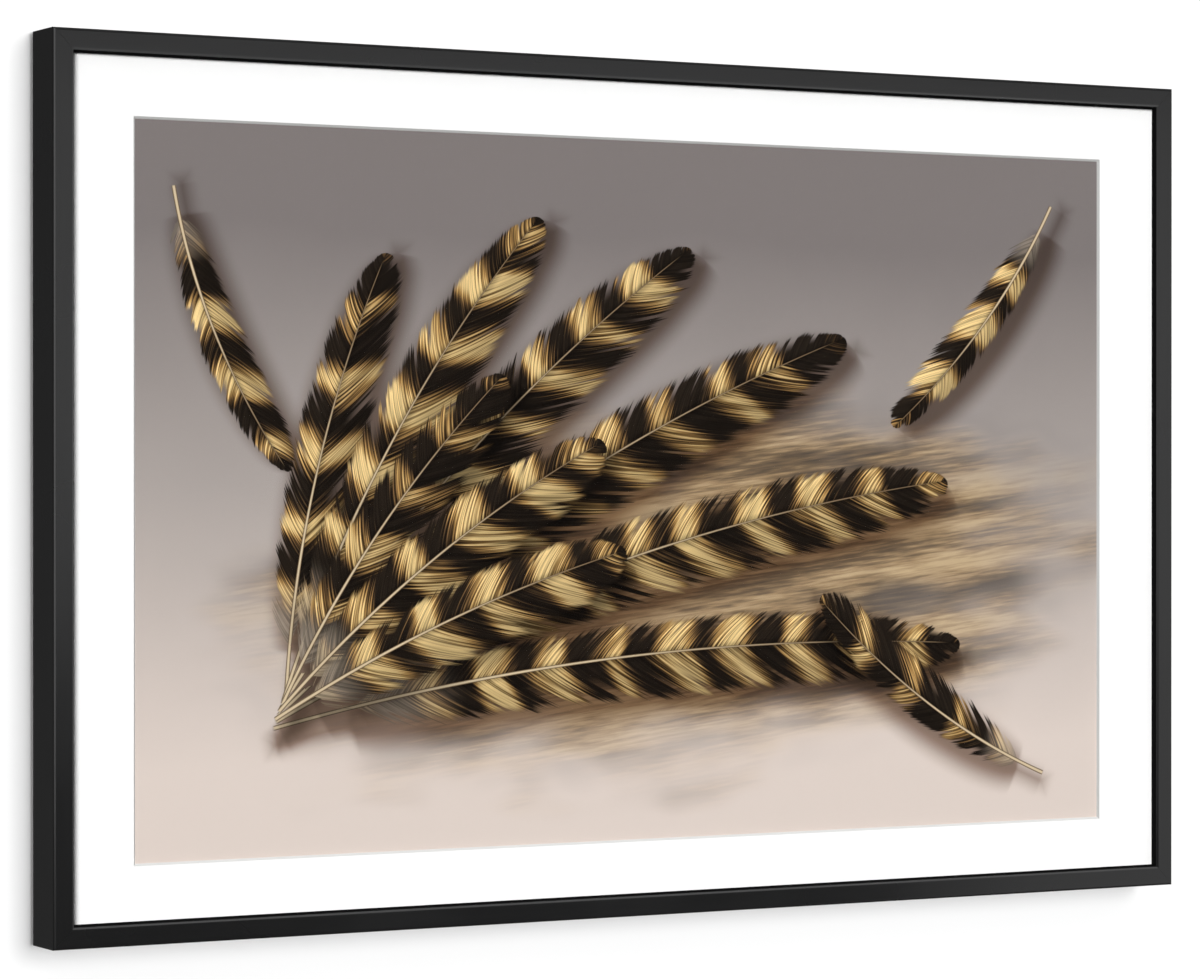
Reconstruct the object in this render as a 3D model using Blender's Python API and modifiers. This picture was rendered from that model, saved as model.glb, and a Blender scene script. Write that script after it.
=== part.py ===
"""Framed art print: a black gallery frame with a window mat, hung on two sawtooth hangers.

Metres, +Z up. The picture faces -Y and the wall stands at Y = 0. The origin lies on the
wall's plane at mid-width, at the height where the wall's screws bear on the hangers' teeth.
"""

from math import cos, pi, radians, sin

import bmesh
import bpy
from mathutils import Matrix, Vector

OBJECT_NAME = "framed_art_print"
SHARP_DEGREES = 30
TOUCH = 1e-6

# Driving dimensions of the frame
FRAME_WIDTH = 0.9144
FRAME_HEIGHT = 0.6096
FRAME_DEPTH = 0.038
FACE_WIDTH = 0.015
SIGHT_BEVEL = 0.001
RABBET_WIDTH = 0.007
LIP_THICKNESS = 0.0052
OUTER_ARRIS = 0.002
INNER_ARRIS = 0.0025
BACK_ARRIS = 0.0008
MITRE_GAP = 0.0002

# The stack in the rabbet, front to back
GAP = 0.0003
GLAZING_THICKNESS = 0.002
MAT_THICKNESS = 0.0016
PRINT_THICKNESS = 0.0004
BACKING_THICKNESS = 0.003
STACK_ALLOWANCE = 0.004
MAT_BORDER_SIDE = 0.0456
MAT_BORDER_TOP = 0.0382

# Flexible points that hold the stack
POINT_WIDTH = 0.009
POINT_TONGUE = 0.0095
POINT_DRIVEN = 0.006
POINT_TIP = 0.003
POINT_THICKNESS = 0.0005
POINT_CORNER = 0.0015
POINT_END_DISTANCE = 0.09
POINTS_LONG_RAIL = 4
POINTS_SHORT_RAIL = 3

# Sawtooth hangers
HANGER_LENGTH = 0.076
HANGER_HEIGHT = 0.008
HANGER_THICKNESS = 0.001
HANGER_RISE = 0.0015
HANGER_FOOT = 0.012
HANGER_RAMP = 0.003
HANGER_CORNER = 0.002
HANGER_OFFSET = 0.26
TOOTH_PITCH = 0.003
TOOTH_DEPTH = 0.0016
TOOTH_COUNT = 13

# Hanger screws
SCREW_HEAD_RADIUS = 0.0025
SCREW_HEAD_HEIGHT = 0.0014
SCREW_SHANK_RADIUS = 0.0013
SCREW_SHANK_LENGTH = 0.009
SCREW_TIP = 0.002
SCREW_RECESS_WIDTH = 0.0007
SCREW_RECESS_LENGTH = 0.0028
SCREW_RECESS_DEPTH = 0.0008
SCREW_STEPS = 20

# Bumpers
BUMPER_RADIUS = 0.004
BUMPER_HEIGHT = 0.003
BUMPER_INSET = 0.03
BUMPER_STEPS = 28

# Depths, measured as Y from the wall's plane
BACK_Y = -(GAP + BUMPER_HEIGHT)
FRONT_Y = BACK_Y - FRAME_DEPTH
GLAZING_Y = FRONT_Y + LIP_THICKNESS + GAP
MAT_Y = GLAZING_Y + GLAZING_THICKNESS + GAP
PRINT_Y = MAT_Y + MAT_THICKNESS + GAP
BACKING_Y = PRINT_Y + PRINT_THICKNESS + GAP
POINT_Y = BACKING_Y + BACKING_THICKNESS + GAP

# Heights: the tooth roots lie at Z = 0
SIGHT_WIDTH = FACE_WIDTH + SIGHT_BEVEL
WEB_WIDTH = SIGHT_WIDTH - RABBET_WIDTH
HANGER_MIDDLE_Z = HANGER_HEIGHT / 2 - TOOTH_DEPTH
TOP_Z = HANGER_MIDDLE_Z + WEB_WIDTH / 2
CENTRE_Z = TOP_Z - FRAME_HEIGHT / 2

# The sheets are cut smaller than the rabbet, and lie in its lower left corner
SHEET_WIDTH = FRAME_WIDTH - 2 * WEB_WIDTH - STACK_ALLOWANCE
SHEET_HEIGHT = FRAME_HEIGHT - 2 * WEB_WIDTH - STACK_ALLOWANCE
SHEET_SHIFT = GAP - STACK_ALLOWANCE / 2
WINDOW_WIDTH = FRAME_WIDTH - 2 * (SIGHT_WIDTH + MAT_BORDER_SIDE)
WINDOW_HEIGHT = FRAME_HEIGHT - 2 * (SIGHT_WIDTH + MAT_BORDER_TOP)


def clear_scene():
    for old in list(bpy.data.objects):
        bpy.data.objects.remove(old, do_unlink=True)


def new_collection(name):
    collection = bpy.data.collections.new(name)
    bpy.context.scene.collection.children.link(collection)
    return collection


def new_material(name, colour, roughness, metallic=0.0, transmission=0.0):
    material = bpy.data.materials.new(name)
    material.use_nodes = True
    shader = material.node_tree.nodes["Principled BSDF"]
    shader.inputs["Base Color"].default_value = (*colour, 1.0)
    shader.inputs["Roughness"].default_value = roughness
    shader.inputs["Metallic"].default_value = metallic
    shader.inputs["Transmission Weight"].default_value = transmission
    material.diffuse_color = (*colour, 1.0)
    return material


def object_from(name, shape, collection, material=None):
    """Turns a closed bmesh into an object of the collection."""
    bmesh.ops.recalc_face_normals(shape, faces=shape.faces)
    mesh = bpy.data.meshes.new(name)
    shape.to_mesh(mesh)
    shape.free()
    mesh.shade_smooth()
    mesh.set_sharp_from_angle(angle=radians(SHARP_DEGREES))
    made = bpy.data.objects.new(name, mesh)
    if material:
        mesh.materials.append(material)
    collection.objects.link(made)
    return made


def cut(target, cutter, crossing=False):
    """Takes the cutter's shape away. Crossing says that the cutter's own boxes run through each other."""
    cutter.hide_render = True
    cutter.display_type = "WIRE"
    boolean = target.modifiers.new("Cut", "BOOLEAN")
    boolean.operation = "DIFFERENCE"
    boolean.solver = "EXACT"
    boolean.use_self = crossing
    boolean.object = cutter


def box_into(shape, size, middle, turn=None):
    """Adds a box of this size to the bmesh, turned about its own middle."""
    place = Matrix.Translation(middle) @ (turn or Matrix.Identity(4)) @ Matrix.Diagonal((*size, 1))
    bmesh.ops.create_cube(shape, size=1.0, matrix=place)


def arc(middle, radius, start, end, steps):
    """Points of an arc in the plane, from one angle in degrees to another."""
    angles = [radians(start + (end - start) * step / steps) for step in range(steps + 1)]
    return [(middle[0] + radius * cos(a), middle[1] + radius * sin(a)) for a in angles]


def extrude_outline(outline, to_space, along):
    """A solid made from a flat outline: to_space places its points, along is the extrusion."""
    shape = bmesh.new()
    corners = [shape.verts.new(to_space(u, v)) for u, v in outline]
    face = shape.faces.new(corners)
    grown = bmesh.ops.extrude_face_region(shape, geom=[face])["geom"]
    moved = [item for item in grown if isinstance(item, bmesh.types.BMVert)]
    bmesh.ops.translate(shape, verts=moved, vec=along)
    return shape


# Rails


def rail_section():
    """The moulding's section: u runs from the outer edge inwards, v from the front to the back.

    Behind the rounded inner arris, the lip slopes in a little towards the glazing.
    """
    inner, outer, back = INNER_ARRIS, OUTER_ARRIS, BACK_ARRIS
    outline = arc((outer, outer), outer, 180, 270, 4)
    outline += arc((FACE_WIDTH - inner, inner), inner, 270, 360, 5)
    outline += [(SIGHT_WIDTH, LIP_THICKNESS), (WEB_WIDTH, LIP_THICKNESS)]
    outline += [(WEB_WIDTH, FRAME_DEPTH)]
    outline += arc((back, FRAME_DEPTH - back), back, 90, 180, 2)
    return outline


def mitre(shape, length, reach, side):
    """Cuts one end of a rail at 45 degrees, half the gap short of the corner's diagonal."""
    outward = Vector((side, 0, -1)).normalized()
    corner = Vector((side * length / 2, 0, reach))
    geometry = shape.verts[:] + shape.edges[:] + shape.faces[:]
    made = bmesh.ops.bisect_plane(
        shape,
        geom=geometry,
        plane_co=corner - outward * MITRE_GAP / 2,
        plane_no=outward,
        clear_outer=True,
    )
    rim = [item for item in made["geom_cut"] if isinstance(item, bmesh.types.BMEdge)]
    bmesh.ops.edgeloop_fill(shape, edges=rim)


def make_rail(name, length, reach, turn, material, collection):
    """A rail lies along X at height reach, and is turned about Y to its own side of the frame."""
    shape = extrude_outline(
        rail_section(),
        lambda u, v: (-length / 2, FRONT_Y + v, reach - u),
        (length, 0, 0),
    )
    for side in (-1, 1):
        mitre(shape, length, reach, side)
    rail = object_from(name, shape, collection, material)
    rail.location = (0, 0, CENTRE_Z)
    rail.rotation_euler = (0, radians(turn), 0)
    return rail


# Flexible points


def point_places(length, count):
    """Where the points stand along a rail, from its middle, evenly between the two end ones."""
    first = POINT_END_DISTANCE - length / 2
    step = -2 * first / (count - 1)
    return [first + step * index for index in range(count)]


def point_outline():
    """u runs along the rail, v from the web's inner face towards the picture."""
    half = POINT_WIDTH / 2
    corner = POINT_CORNER
    outline = [(-half, POINT_TIP - POINT_DRIVEN), (0, -POINT_DRIVEN), (half, POINT_TIP - POINT_DRIVEN)]
    outline += arc((half - corner, POINT_TONGUE - corner), corner, 0, 90, 3)
    outline += arc((corner - half, POINT_TONGUE - corner), corner, 90, 180, 3)
    return outline


def make_points(rail_name, length, reach, turn, count, material, collection):
    for number, place in enumerate(point_places(length, count), start=1):
        shape = extrude_outline(
            point_outline(),
            lambda u, v, place=place: (place + u, POINT_Y, reach - WEB_WIDTH - v),
            (0, POINT_THICKNESS, 0),
        )
        point = object_from(f"point_{rail_name}_{number}", shape, collection, material)
        point.location = (0, 0, CENTRE_Z)
        point.rotation_euler = (0, radians(turn), 0)


def cut_point_slots(rail, name, length, reach, count, cutters):
    """Each slot opens at the web's inner face, where the stack lies."""
    shape = bmesh.new()
    depth = POINT_DRIVEN + GAP
    size = (POINT_WIDTH + 2 * GAP, POINT_THICKNESS + 2 * GAP, 2 * depth)
    for place in point_places(length, count):
        box_into(shape, size, (place, POINT_Y + POINT_THICKNESS / 2, reach - WEB_WIDTH))
    slots = object_from(f"slots_{name}", shape, cutters)
    slots.location = rail.location
    slots.rotation_euler = rail.rotation_euler
    cut(rail, slots)


# The stack


def make_sheet(name, front, thickness, material, collection):
    shape = bmesh.new()
    box_into(shape, (SHEET_WIDTH, thickness, SHEET_HEIGHT), (0, thickness / 2, 0))
    sheet = object_from(name, shape, collection, material)
    sheet.location = (SHEET_SHIFT, front, CENTRE_Z + SHEET_SHIFT)
    return sheet


def cut_window(mat, cutters):
    """The window's cutter narrows towards the back at 45 degrees, and runs past both faces."""
    past = MAT_THICKNESS
    shape = bmesh.new()
    bmesh.ops.create_cube(shape, size=1.0)
    for vert in shape.verts:
        at_back = vert.co.y > 0
        inwards = MAT_THICKNESS + past if at_back else -past
        vert.co.x *= WINDOW_WIDTH - 2 * inwards
        vert.co.z *= WINDOW_HEIGHT - 2 * inwards
        vert.co.y = MAT_THICKNESS + past if at_back else -past
    window = object_from("window", shape, cutters)
    window.location = mat.location
    cut(mat, window)


# Hangers, their screws and the bumpers


def hanger_outline():
    """The bent strip seen from above: flat feet, short ramps and the raised middle."""
    half = HANGER_LENGTH / 2
    foot = half - HANGER_FOOT
    middle = foot - HANGER_RAMP
    left = [(-half, 0), (-foot, 0), (-middle, HANGER_RISE)]
    near = left + [(-u, v) for u, v in reversed(left)]
    far = [(u, v + HANGER_THICKNESS) for u, v in reversed(near)]
    return near + far


def is_hanger_corner(edge):
    """True for the four short edges that run through the strip's thickness at its ends."""
    start, end = (vert.co for vert in edge.verts)
    at_end = abs(abs(start.x) - HANGER_LENGTH / 2) < TOUCH
    return at_end and abs(start.y - end.y) > TOUCH


def make_hanger(name, x, material, collection, cutters):
    shape = extrude_outline(
        hanger_outline(),
        lambda u, v: (u, v, -HANGER_HEIGHT / 2),
        (0, 0, HANGER_HEIGHT),
    )
    bmesh.ops.bevel(
        shape,
        geom=[edge for edge in shape.edges if is_hanger_corner(edge)],
        offset=HANGER_CORNER,
        affect="EDGES",
        segments=3,
        profile=0.5,
        material=-1,
    )
    hanger = object_from(name, shape, collection, material)
    hanger.location = (x, BACK_Y + GAP, HANGER_MIDDLE_Z)
    cut(hanger, tooth_cutter(f"teeth_{name}", hanger.location, cutters))
    cut(hanger, hole_cutter(f"holes_{name}", hanger.location, cutters))


def tooth_cutter(name, location, cutters):
    """A comb of triangles that leaves pointed teeth along the hanger's lower edge."""
    start = -TOOTH_PITCH * TOOTH_COUNT / 2
    base = -HANGER_HEIGHT / 2 - TOOTH_DEPTH / 4
    root = -HANGER_HEIGHT / 2 + TOOTH_DEPTH
    outline = [(start, base - TOOTH_DEPTH), (start, base)]
    for index in range(TOOTH_COUNT):
        outline.append((start + TOOTH_PITCH * (index + 0.5), root))
        outline.append((start + TOOTH_PITCH * (index + 1), base))
    outline.append((-start, base - TOOTH_DEPTH))
    through = HANGER_RISE + HANGER_THICKNESS
    shape = extrude_outline(outline, lambda u, v: (u, -through, v), (0, 3 * through, 0))
    comb = object_from(name, shape, cutters)
    comb.location = location
    return comb


def hole_places():
    middle = (HANGER_LENGTH - HANGER_FOOT) / 2
    return (-middle, middle)


def hole_cutter(name, location, cutters):
    shape = bmesh.new()
    for x in hole_places():
        add_rod(shape, SCREW_SHANK_RADIUS + GAP, 6 * HANGER_THICKNESS, (x, 0, 0))
    holes = object_from(name, shape, cutters)
    holes.location = location
    return holes


def add_rod(shape, radius, length, middle):
    """A round bar along Y, for drilling."""
    bmesh.ops.create_cone(
        shape,
        cap_ends=True,
        segments=SCREW_STEPS,
        radius1=radius,
        radius2=radius,
        depth=length,
        matrix=Matrix.Translation(middle) @ Matrix.Rotation(pi / 2, 4, "X"),
    )


def turned(name, profile, steps, material, collection):
    """A turned piece from a profile of (radius, height) points that runs from top to bottom."""
    mesh = bpy.data.meshes.new(name)
    points = [(radius, 0, height) for radius, height in profile]
    mesh.from_pydata(points, [(i, i + 1) for i in range(len(points) - 1)], [])
    mesh.materials.append(material)
    made = bpy.data.objects.new(name, mesh)
    collection.objects.link(made)
    screw = made.modifiers.new("Turn", "SCREW")
    screw.axis = "Z"
    screw.steps = steps
    screw.render_steps = steps
    screw.use_merge_vertices = True
    screw.merge_threshold = 0.00001
    return made


def screw_profile():
    """Pan head, shank and pointed end, with the head's underside at height 0."""
    radius, height = SCREW_HEAD_RADIUS, SCREW_HEAD_HEIGHT
    flat = radius - height
    crown = arc((flat, 0), height, 90, 0, 5)
    end = -SCREW_SHANK_LENGTH
    shank = [(SCREW_SHANK_RADIUS, 0), (SCREW_SHANK_RADIUS, end + SCREW_TIP), (0, end)]
    return [(0, height)] + crown + shank


def make_hanger_screw(name, x, turn, material, collection, cutters):
    screw = turned(name, screw_profile(), SCREW_STEPS, material, collection)
    seat = BACK_Y + 2 * GAP + HANGER_THICKNESS
    screw.location = (x, seat, HANGER_MIDDLE_Z)
    screw.rotation_euler = (-pi / 2, 0, 0)
    shape = bmesh.new()
    size = (SCREW_RECESS_LENGTH, SCREW_RECESS_WIDTH, 2 * SCREW_RECESS_DEPTH)
    for angle in (turn, turn + 90):
        arm = Matrix.Rotation(radians(angle), 4, "Z")
        box_into(shape, size, (0, 0, SCREW_HEAD_HEIGHT), arm)
    recess = object_from(f"recess_{name}", shape, cutters)
    recess.location = screw.location
    recess.rotation_euler = screw.rotation_euler
    cut(screw, recess, crossing=True)


def cut_pilot_holes(rail, places, cutters):
    """Holes for the hangers' screws, drilled from the back of the top rail."""
    shape = bmesh.new()
    length = 2 * (SCREW_SHANK_LENGTH + GAP)
    for x in places:
        add_rod(shape, SCREW_SHANK_RADIUS + GAP, length, (x, BACK_Y, HANGER_MIDDLE_Z))
    cut(rail, object_from("pilot_holes", shape, cutters))


def bumper_profile():
    """A low round pad with a soft edge, its flat rear face at height BUMPER_HEIGHT."""
    soft = BUMPER_HEIGHT / 3
    rim = arc((BUMPER_RADIUS - soft, BUMPER_HEIGHT - soft), soft, 90, 0, 4)
    return [(0, BUMPER_HEIGHT)] + rim + [(BUMPER_RADIUS, 0), (0, 0)]


def make_bumper(name, x, material, collection):
    bumper = turned(name, bumper_profile(), BUMPER_STEPS, material, collection)
    bumper.location = (x, BACK_Y + GAP, TOP_Z - FRAME_HEIGHT + WEB_WIDTH / 2)
    bumper.rotation_euler = (-pi / 2, 0, 0)


def main():
    clear_scene()
    parts = new_collection(OBJECT_NAME)
    cutters = new_collection("cutters")
    cutters.hide_render = True

    black_wood = new_material("black_wood", (0.028, 0.028, 0.029), 0.5)
    acrylic = new_material("acrylic", (1.0, 1.0, 1.0), 0.03, transmission=1.0)
    mat_paper = new_material("mat_paper", (0.93, 0.93, 0.92), 0.9)
    print_paper = new_material("print_paper", (0.55, 0.47, 0.43), 0.7)
    hardboard = new_material("hardboard", (0.27, 0.16, 0.09), 0.7)
    steel = new_material("steel", (0.62, 0.62, 0.6), 0.35, metallic=1.0)
    rubber = new_material("rubber", (0.2, 0.2, 0.2), 0.8)

    sides = (
        ("top", FRAME_WIDTH, FRAME_HEIGHT / 2, 0, POINTS_LONG_RAIL),
        ("right", FRAME_HEIGHT, FRAME_WIDTH / 2, 90, POINTS_SHORT_RAIL),
        ("bottom", FRAME_WIDTH, FRAME_HEIGHT / 2, 180, POINTS_LONG_RAIL),
        ("left", FRAME_HEIGHT, FRAME_WIDTH / 2, 270, POINTS_SHORT_RAIL),
    )
    for side, length, reach, turn, count in sides:
        rail = make_rail(f"rail_{side}", length, reach, turn, black_wood, parts)
        cut_point_slots(rail, side, length, reach, count, cutters)
        make_points(side, length, reach, turn, count, steel, parts)

    make_sheet("glazing", GLAZING_Y, GLAZING_THICKNESS, acrylic, parts)
    mat = make_sheet("mat_board", MAT_Y, MAT_THICKNESS, mat_paper, parts)
    cut_window(mat, cutters)
    make_sheet("print_sheet", PRINT_Y, PRINT_THICKNESS, print_paper, parts)
    make_sheet("backing_board", BACKING_Y, BACKING_THICKNESS, hardboard, parts)

    screw_places = []
    for name, x in (("hanger_left", -HANGER_OFFSET), ("hanger_right", HANGER_OFFSET)):
        make_hanger(name, x, steel, parts, cutters)
        screw_places += [x + place for place in hole_places()]
    cut_pilot_holes(bpy.data.objects["rail_top"], screw_places, cutters)
    for number, x in enumerate(screw_places, start=1):
        make_hanger_screw(f"hanger_screw_{number}", x, 25 * number, steel, parts, cutters)

    corner = FRAME_WIDTH / 2 - BUMPER_INSET
    make_bumper("bumper_left", -corner, rubber, parts)
    make_bumper("bumper_right", corner, rubber, parts)


main()
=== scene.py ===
"""The finish of a framed art print: black moulding, bevelled mat, picture, glazing and the back.

Metres, +Z up. The picture faces -Y and the wall stands at Y = 0.
"""

from math import cos, pi, radians, sin

import bmesh
import bpy
from bpy.props import FloatProperty, FloatVectorProperty, PointerProperty
from mathutils import Matrix, Vector


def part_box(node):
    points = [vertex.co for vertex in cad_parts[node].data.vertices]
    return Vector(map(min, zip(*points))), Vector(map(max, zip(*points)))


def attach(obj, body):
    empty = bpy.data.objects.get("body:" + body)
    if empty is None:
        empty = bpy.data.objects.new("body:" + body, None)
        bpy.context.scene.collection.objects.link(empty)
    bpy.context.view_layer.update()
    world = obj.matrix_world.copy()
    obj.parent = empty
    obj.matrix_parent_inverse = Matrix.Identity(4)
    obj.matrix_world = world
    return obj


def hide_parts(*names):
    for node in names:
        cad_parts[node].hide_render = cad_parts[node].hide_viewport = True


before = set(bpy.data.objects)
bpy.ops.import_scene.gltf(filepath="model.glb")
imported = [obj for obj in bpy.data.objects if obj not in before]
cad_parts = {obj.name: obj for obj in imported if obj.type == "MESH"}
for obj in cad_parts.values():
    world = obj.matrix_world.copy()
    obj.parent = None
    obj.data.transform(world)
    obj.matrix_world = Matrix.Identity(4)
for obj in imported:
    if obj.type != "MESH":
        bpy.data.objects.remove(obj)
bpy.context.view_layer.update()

bl_info = {
    "name": "Framed Print Finish",
    "version": (1, 0, 0),
    "blender": (4, 5, 0),
    "location": "View3D > Sidebar > Framed Print",
    "description": "Finishes a framed and matted art print, piece by piece, and lights it in a studio",
    "category": "Object",
}

BODY = "root"

LEFT_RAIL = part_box("rail_left")
RIGHT_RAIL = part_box("rail_right")
TOP_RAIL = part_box("rail_top")
BOTTOM_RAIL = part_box("rail_bottom")
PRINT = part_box("print_sheet")

FRAME_WIDTH = RIGHT_RAIL[1].x - LEFT_RAIL[0].x
FRAME_HEIGHT = TOP_RAIL[1].z - BOTTOM_RAIL[0].z
FRAME_DEPTH = TOP_RAIL[1].y - TOP_RAIL[0].y
FRONT_Y = TOP_RAIL[0].y
CENTRE_Z = (TOP_RAIL[1].z + BOTTOM_RAIL[0].z) / 2
SHEET_CENTRE = (PRINT[0] + PRINT[1]) / 2


# Node graphs


def drawn_out(fine, coarse, along):
    """Spots of noise to a metre: coarse along one axis and fine across it."""
    scale = [fine] * 3
    scale[along] = coarse
    return scale


class Graph:
    """Adds nodes to one node tree and links them. A value may be a number, a colour or a socket."""

    def __init__(self, tree):
        self.tree = tree
        self.column = 0

    def node(self, kind, **settings):
        made = self.tree.nodes.new(kind)
        made.location = (180 * (self.column // 6), -180 * (self.column % 6))
        self.column += 1
        for name, value in settings.items():
            setattr(made, name, value)
        return made

    def feed(self, socket, value):
        if isinstance(value, bpy.types.NodeSocket):
            self.tree.links.new(value, socket)
        elif value is not None:
            wants_alpha = socket.type == "RGBA" and len(value) == 3
            socket.default_value = (*value, 1.0) if wants_alpha else value

    def math(self, operation, *values, clamp=False):
        made = self.node("ShaderNodeMath", operation=operation, use_clamp=clamp)
        for socket, value in zip(made.inputs, values):
            self.feed(socket, value)
        return made.outputs[0]

    def times(self, *values):
        """The product of two or more numbers."""
        product = values[0]
        for value in values[1:]:
            product = self.math("MULTIPLY", product, value)
        return product

    def sway(self, value, noise, amount):
        """Moves a value up and down with noise, by up to half the amount."""
        return self.math("MULTIPLY_ADD", self.math("SUBTRACT", noise, 0.5), amount, value)

    def vector(self, operation, *values):
        made = self.node("ShaderNodeVectorMath", operation=operation)
        for socket, value in zip(made.inputs, values):
            self.feed(socket, value)
        return made.outputs["Value" if operation in ("LENGTH", "DOT_PRODUCT") else "Vector"]

    def combine(self, x, y, z=0.0):
        made = self.node("ShaderNodeCombineXYZ")
        for socket, value in zip(made.inputs, (x, y, z)):
            self.feed(socket, value)
        return made.outputs[0]

    def separate(self, vector):
        made = self.node("ShaderNodeSeparateXYZ")
        self.feed(made.inputs[0], vector)
        return made.outputs

    def smooth(self, value, low, high, to_low=0.0, to_high=1.0):
        """Rises smoothly from to_low at low to to_high at high."""
        made = self.node("ShaderNodeMapRange", interpolation_type="SMOOTHSTEP")
        for socket, item in zip(made.inputs, (value, low, high, to_low, to_high)):
            self.feed(socket, item)
        return made.outputs[0]

    def noise(self, vector, scale=1.0, detail=2.0, roughness=0.5, dimensions="3D"):
        """Noise whose scale, on the piece's own coordinates, is in spots to a metre."""
        made = self.node("ShaderNodeTexNoise", noise_dimensions=dimensions)
        self.feed(made.inputs["Vector"], vector)
        self.feed(made.inputs["Scale"], scale)
        self.feed(made.inputs["Detail"], detail)
        self.feed(made.inputs["Roughness"], roughness)
        return made.outputs[0]

    def mix(self, factor, under, over, blend="MIX"):
        made = self.node("ShaderNodeMix", data_type="RGBA", blend_type=blend)
        self.feed(made.inputs[0], factor)
        self.feed(made.inputs[6], under)
        self.feed(made.inputs[7], over)
        return made.outputs[2]

    def switch(self, factor, under, over):
        """Mixes two vectors."""
        made = self.node("ShaderNodeMix", data_type="VECTOR")
        self.feed(made.inputs[0], factor)
        self.feed(made.inputs[4], under)
        self.feed(made.inputs[5], over)
        return made.outputs[1]

    def blend(self, factor, under, over):
        """Mixes two numbers."""
        made = self.node("ShaderNodeMix", data_type="FLOAT")
        self.feed(made.inputs[0], factor)
        self.feed(made.inputs[2], under)
        self.feed(made.inputs[3], over)
        return made.outputs[0]

    def shade(self, colour, amount):
        """Makes a colour lighter or darker by an amount."""
        made = self.node("ShaderNodeVectorMath", operation="SCALE")
        self.feed(made.inputs["Vector"], colour)
        self.feed(made.inputs["Scale"], amount)
        return made.outputs[0]

    def ramp(self, value, *stops):
        """Colours by place: each stop is (place, colour)."""
        made = self.node("ShaderNodeValToRGB")
        elements = made.color_ramp.elements
        while len(elements) < len(stops):
            elements.new(1.0)
        for element, (place, colour) in zip(elements, stops):
            element.position = place
            element.color = (*colour, 1.0)
        self.feed(made.inputs[0], value)
        return made.outputs[0]

    def curve(self, value, points):
        """A smooth curve through these points."""
        made = self.node("ShaderNodeFloatCurve")
        line = made.mapping.curves[0]
        line.points[0].location = points[0]
        line.points[1].location = points[-1]
        for point in points[1:-1]:
            line.points.new(*point)
        made.mapping.update()
        self.feed(made.inputs["Value"], value)
        return made.outputs[0]

    def place(self, location=(0, 0, 0), scale=(1, 1, 1)):
        """The piece's own coordinates, moved to location and stretched."""
        coordinates = self.node("ShaderNodeTexCoord")
        made = self.node("ShaderNodeMapping", vector_type="POINT")
        made.inputs["Location"].default_value = [-l * s for l, s in zip(location, scale)]
        made.inputs["Scale"].default_value = scale
        self.feed(made.inputs["Vector"], coordinates.outputs["Object"])
        return made.outputs[0]

    def bump(self, height, distance, strength=1.0, normal=None):
        made = self.node("ShaderNodeBump")
        made.inputs["Distance"].default_value = distance
        made.inputs["Strength"].default_value = strength
        self.feed(made.inputs["Height"], height)
        self.feed(made.inputs["Normal"], normal)
        return made.outputs[0]


def new_material(name):
    """A material, its graph and its main shader."""
    material = bpy.data.materials.new(name)
    material.use_nodes = True
    graph = Graph(material.node_tree)
    return material, graph, material.node_tree.nodes["Principled BSDF"]


def finish(shader, graph, **values):
    """Sets the shader's inputs by name, with _ for each space."""
    for name, value in values.items():
        graph.feed(shader.inputs[name.replace("_", " ")], value)


def dress(node, material):
    """Gives a node of the frame its material."""
    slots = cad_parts[node].material_slots
    if not slots:
        raise RuntimeError(f"{node} has no material slot")
    for slot in slots:
        slot.material = material


# Settings


def size_setting(name, description, default):
    """A length."""
    return FloatProperty(name=name, description=description, default=default, unit="LENGTH")


def share_setting(name, description, default):
    """A number from 0 to 1."""
    return FloatProperty(name=name, description=description, default=default, subtype="FACTOR", min=0, max=1)


def level_setting(name, description, default):
    """A brightness."""
    return FloatProperty(name=name, description=description, default=default, min=0)


def colour_setting(name, description, default):
    """A linear colour."""
    return FloatVectorProperty(name=name, description=description, default=default, subtype="COLOR", size=3)


class MouldingSettings(bpy.types.PropertyGroup):
    """The moulding's section and paint."""

    rail_width: size_setting(
        "Rail width", "Width of the moulding, with the slope of its lip", LEFT_RAIL[1].x - LEFT_RAIL[0].x
    )
    sight_bevel: size_setting("Sight bevel", "How far the lip slopes in behind the inner arris", 0.001)
    lip_thickness: size_setting("Lip thickness", "Thickness of the lip that holds the glazing in", 0.0052)
    rabbet_width: size_setting("Rabbet width", "How far the lip overhangs the rabbet behind it", 0.007)
    outer_arris: size_setting("Outer arris", "Radius of the front face's outer edge", 0.002)
    inner_arris: size_setting("Inner arris", "Radius of the front face's edge beside the glazing", 0.0025)
    back_arris: size_setting("Back arris", "Radius of the outer edge at the back", 0.0008)
    mitre_gap: size_setting("Mitre gap", "Width of the hairline between two mitred ends", 0.00008)
    paint: colour_setting("Paint", "Colour of the satin paint", (0.0080, 0.0080, 0.0082))
    roughness: share_setting("Roughness", "How broad the satin reflection is", 0.30)
    grain_depth: size_setting("Grain depth", "How deep the wood's grain shows through the paint", 0.00003)


class MatSettings(bpy.types.PropertyGroup):
    """The window mat."""

    surface: colour_setting("Surface", "Colour of the mat's face paper", (0.955, 0.955, 0.95))
    # Set darker than the face paper, partly as the core's own tone and partly as painted shade on the bevel.
    core: colour_setting("Core", "Colour of the core that the bevel shows", (0.82, 0.82, 0.81))
    tooth: size_setting("Tooth", "Height of the face paper's fine texture", 0.00003)


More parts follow.
